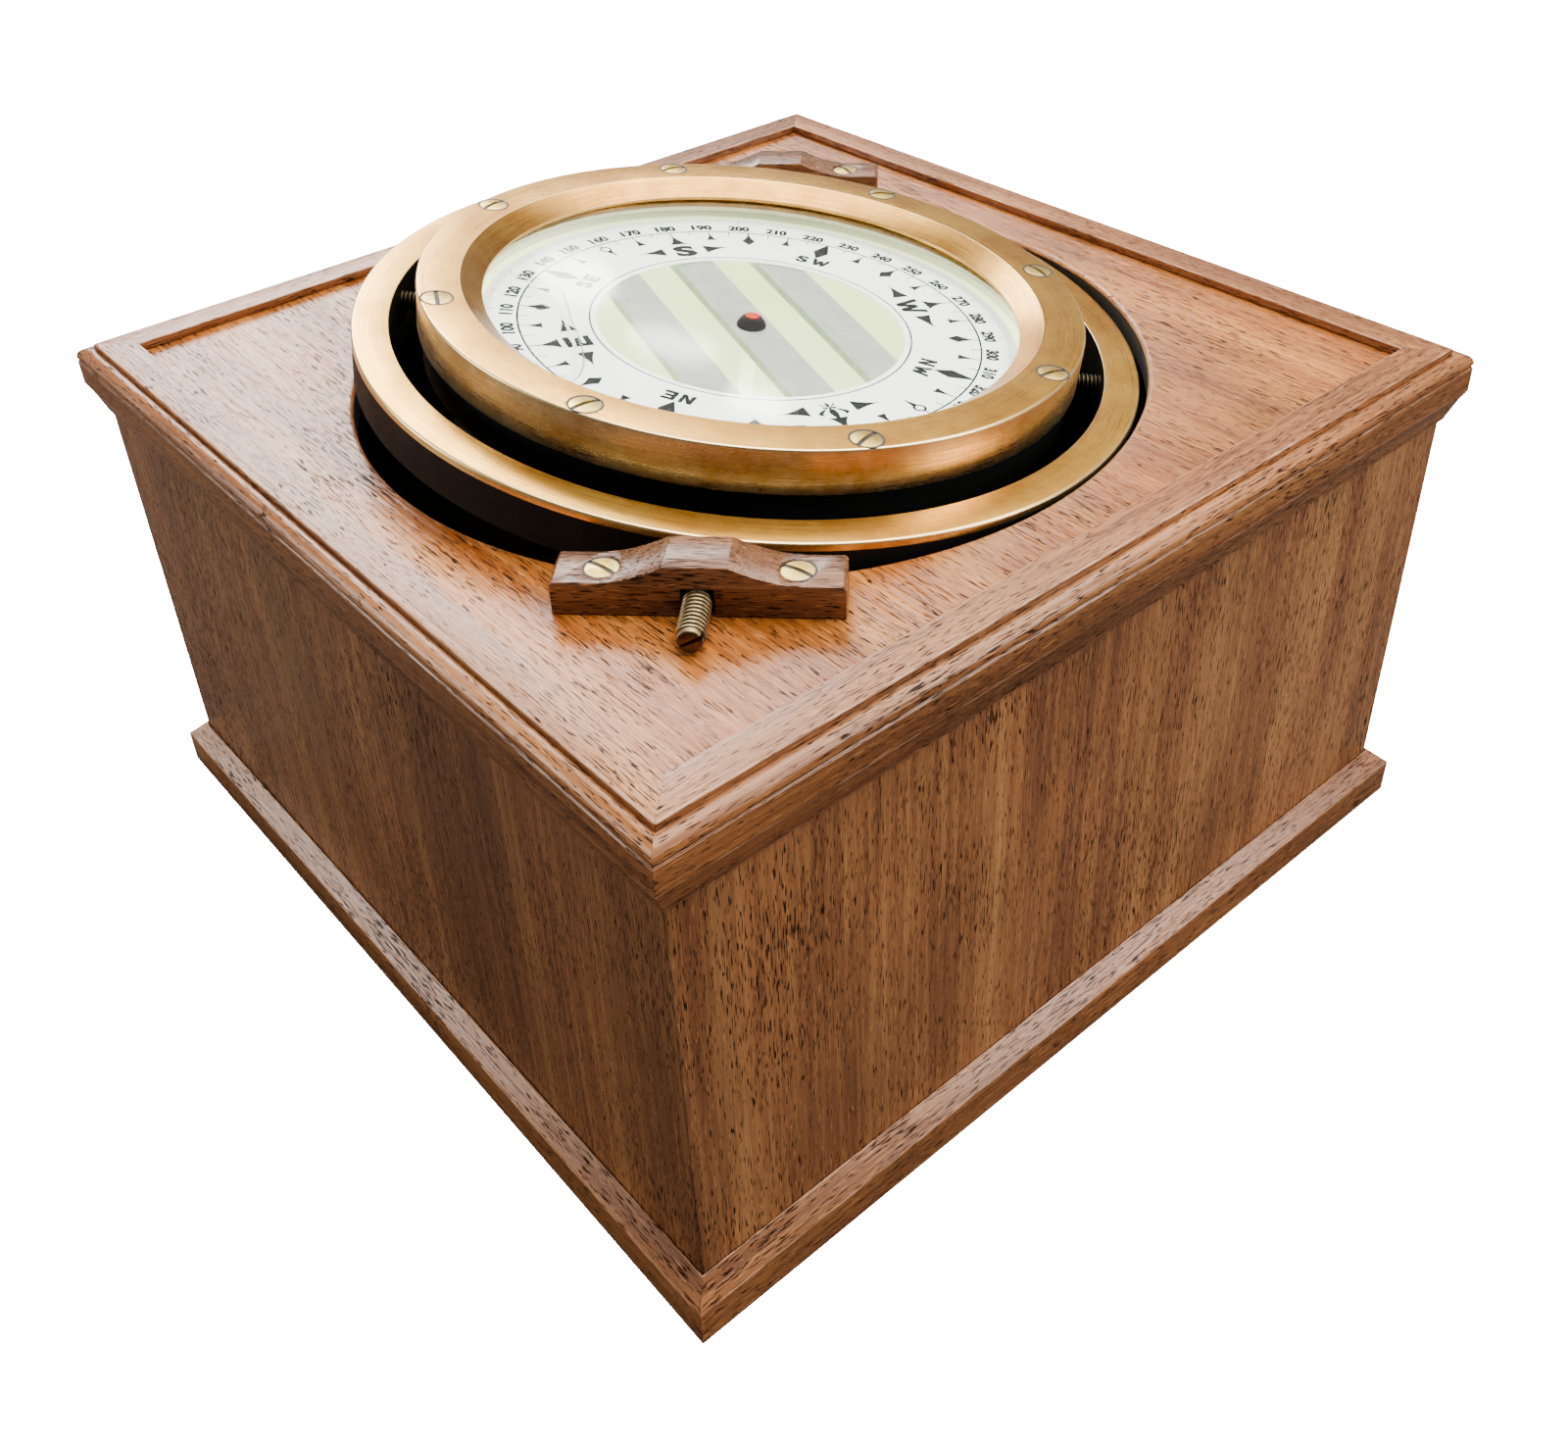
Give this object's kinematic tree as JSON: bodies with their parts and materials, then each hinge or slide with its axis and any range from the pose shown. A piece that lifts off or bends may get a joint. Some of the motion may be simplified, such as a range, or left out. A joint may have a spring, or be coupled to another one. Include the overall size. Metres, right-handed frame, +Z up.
{
  "type": "boxed ship compass",
  "caption": "Liquid-filled ship compass in a gimbal ring, set in a square varnished hardwood case with a moulded rim and base.",
  "frame": {"origin": "middle of the case's underside, on the surface it stands on", "axes": "+Z up; -Y out of the front side, +X out of the right side; the outer gimbal axis runs from the +X -Y corner to the -X +Y corner"},
  "size_m": [0.3174, 0.3174, 0.2142],
  "materials": {
    "varnished_hardwood": "satin varnish",
    "bare_softwood": "matte",
    "lacquered_brass": "satin lacquer",
    "aged_brass": "dull",
    "black_enamel": "satin",
    "clear_glass": "gloss",
    "black_rubber": "matte",
    "white_card": "matte",
    "magnet_steel": "satin",
    "orange_red_paint": "satin",
    "ruby_jewel": "gloss",
    "bronze_sheet": "satin"
  },
  "bodies": {
    "case": {"front_side": "varnished_hardwood", "right_side": "varnished_hardwood", "back_side": "varnished_hardwood", "left_side": "varnished_hardwood", "base_moulding_front": "varnished_hardwood", "base_moulding_right": "varnished_hardwood", "base_moulding_back": "varnished_hardwood", "base_moulding_left": "varnished_hardwood", "cornice_front": "varnished_hardwood", "cornice_right": "varnished_hardwood", "cornice_back": "varnished_hardwood", "cornice_left": "varnished_hardwood", "bottom_board": "bare_softwood", "top_panel": "varnished_hardwood", "corner_block_1": "bare_softwood", "corner_block_2": "bare_softwood", "corner_block_3": "bare_softwood", "corner_block_4": "bare_softwood", "bearing_block_front": "varnished_hardwood", "bearing_block_rear": "varnished_hardwood", "bearing_block_screw_1": "lacquered_brass", "bearing_block_screw_2": "lacquered_brass", "bearing_block_screw_3": "lacquered_brass", "bearing_block_screw_4": "lacquered_brass"},
    "gimbal_ring": {"gimbal_ring": "lacquered_brass", "pivot_stud_front": "aged_brass", "pivot_stud_rear": "aged_brass", "bowl_pivot_left": "aged_brass", "bowl_pivot_right": "aged_brass"},
    "bowl": {"bowl": "black_enamel", "ballast_weight": "black_enamel", "expansion_diaphragm": "bronze_sheet", "pivot_post": "lacquered_brass", "lubber_wire": "black_enamel", "filler_plug": "lacquered_brass", "filler_washer": "black_rubber", "bezel": "lacquered_brass", "glass": "clear_glass", "glass_gasket": "black_rubber", "bezel_screw_1": "lacquered_brass", "bezel_screw_2": "lacquered_brass", "bezel_screw_3": "lacquered_brass", "bezel_screw_4": "lacquered_brass", "bezel_screw_5": "lacquered_brass", "bezel_screw_6": "lacquered_brass", "bezel_screw_7": "lacquered_brass", "bezel_screw_8": "lacquered_brass"},
    "card": {"card": "white_card", "magnet_bar_east": "magnet_steel", "magnet_bar_middle": "magnet_steel", "magnet_bar_west": "magnet_steel", "card_cap": "black_enamel", "cap_jewel": "ruby_jewel", "cap_dot": "orange_red_paint"}
  },
  "joints": [
    {"name": "ring_tilt", "type": "hinge", "parent": "case", "child": "gimbal_ring", "pos_m": [0, 0, 0.18085], "axis": [0.7071, -0.7071, 0], "range_deg": [-27.5, 42.5]},
    {"name": "bowl_tilt", "type": "hinge", "parent": "gimbal_ring", "child": "bowl", "pos_m": [0, 0, 0.18085], "axis": [0.7011, 0.7011, -0.1305], "range_deg": [-33.5, 36.5]},
    {"name": "card_turn", "type": "hinge", "parent": "bowl", "child": "card", "pos_m": [0, 0, 0.18085], "axis": [0.0738, 0.1108, 0.9911], "continuous": true}
  ]
}
